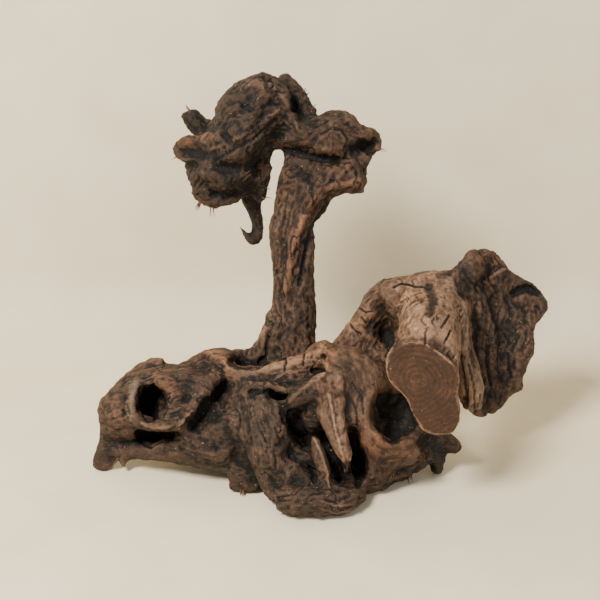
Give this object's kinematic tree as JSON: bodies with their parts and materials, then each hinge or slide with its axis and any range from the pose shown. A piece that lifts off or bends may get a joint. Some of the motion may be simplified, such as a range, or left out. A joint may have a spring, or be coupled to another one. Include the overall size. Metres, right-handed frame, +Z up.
{
  "type": "driftwood",
  "caption": "Gnarled driftwood root with a tall stem, a hooked head and a sawn side branch; a natural ornament that stands on its burl.",
  "frame": {"origin": "middle of the bounding box in plan, on the surface that the driftwood stands on", "axes": "+Z up; +X along the length, from the left lobe to the sawn branch and the broad flake; the sawn end faces -Y"},
  "size_m": [0.3022, 0.1658, 0.2426],
  "materials": {
    "weathered_wood": "weathered, rough and matt"
  },
  "bodies": {
    "root": {"driftwood": "weathered_wood"}
  },
  "joints": []
}
